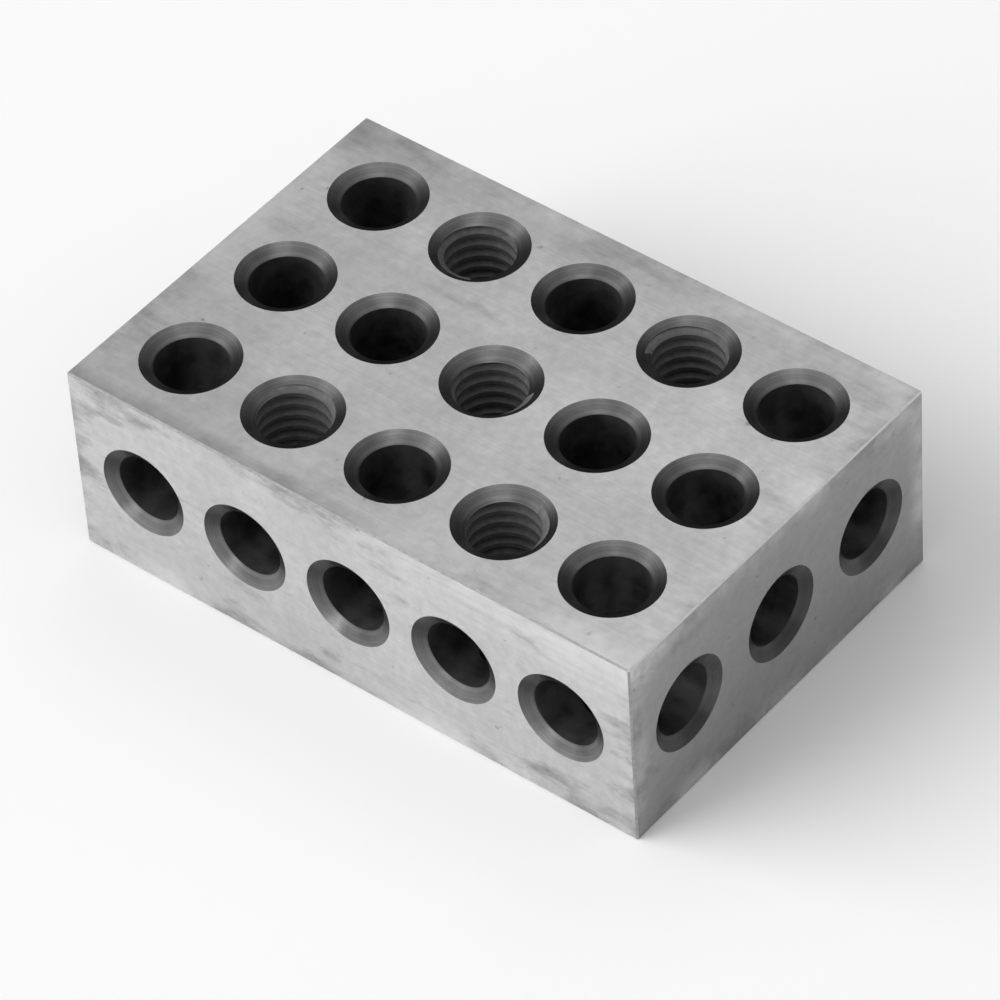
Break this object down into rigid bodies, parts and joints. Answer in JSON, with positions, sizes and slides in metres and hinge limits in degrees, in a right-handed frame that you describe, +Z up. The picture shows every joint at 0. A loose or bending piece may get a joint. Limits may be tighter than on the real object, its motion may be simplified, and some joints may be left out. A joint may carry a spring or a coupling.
{
  "type": "machinist setup block",
  "caption": "Ground rectangular steel setup block in 1-2-3 proportion, drilled through on all three axes with clear and tapped holes for squaring, spacing and bolting up work.",
  "frame": {"origin": "under the middle of the block, on the plane it rests on", "axes": "+X along the three inch length, +Y across the two inch width, +Z up through the one inch thickness"},
  "size_m": [0.0762, 0.0508, 0.0254],
  "materials": {
    "ground_steel": "ground tool steel, satin, with heat-blackened bores"
  },
  "bodies": {
    "root": {"setup_block": "ground_steel"}
  },
  "joints": []
}
